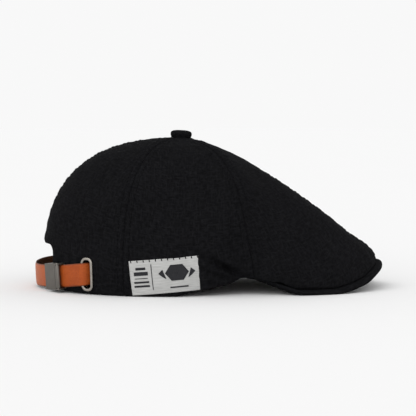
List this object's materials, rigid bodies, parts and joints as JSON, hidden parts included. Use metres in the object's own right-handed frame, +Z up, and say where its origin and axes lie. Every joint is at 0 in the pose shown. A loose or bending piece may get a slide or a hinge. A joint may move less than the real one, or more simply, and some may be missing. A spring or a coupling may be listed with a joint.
{
  "type": "newsboy cap",
  "caption": "Cloth newsboy cap with a duckbill peak, a covered top button, a side label and a rear leather strap with a lever clasp that tucks into a metal grommet.",
  "frame": {"origin": "bottom centre of the whole cap's box: the rim's lowest stretch is at z = 0", "axes": "+X to the tip of the peak, +Y to the wearer's left, +Z up through the top button"},
  "size_m": [0.291, 0.165, 0.1314],
  "materials": {
    "cloth": "matte black linen and cotton weave",
    "lining": "matte black twill tape",
    "board": "matte sheet",
    "metal": "brushed, slightly worn",
    "leather": "smooth tan with worn edges",
    "label": "fine woven"
  },
  "bodies": {
    "cap": {"crown_front_panel_right": "cloth", "crown_middle_panel_right": "cloth", "crown_rear_panel_right": "cloth", "crown_front_panel_left": "cloth", "crown_middle_panel_left": "cloth", "crown_rear_panel_left": "cloth", "peak_upper_cover": "cloth", "peak_under_cover": "cloth", "button_cloth_cover": "cloth", "seam_tape_front": "lining", "seam_tape_back": "lining", "seam_tape_notch_right": "lining", "seam_tape_side_right": "lining", "seam_tape_notch_left": "lining", "seam_tape_side_left": "lining", "rear_opening_binding": "lining", "sweatband": "lining", "peak_board": "board", "button_former": "metal", "button_rivet": "metal", "button_washer": "metal", "grommet_face": "metal", "grommet_backing_washer": "metal", "clasp_frame": "metal", "clasp_pin": "metal", "strap": "leather", "clasp_tab": "leather", "side_label": "label"},
    "clasp_lever": {"clasp_lever": "metal"}
  },
  "joints": [
    {"name": "clasp_lever_hinge", "type": "hinge", "parent": "cap", "child": "clasp_lever", "pos_m": [-0.12116, -0.0537, 0.01331], "axis": [-0.0666, 0.0342, 0.9972], "range_deg": [0, 100]}
  ]
}
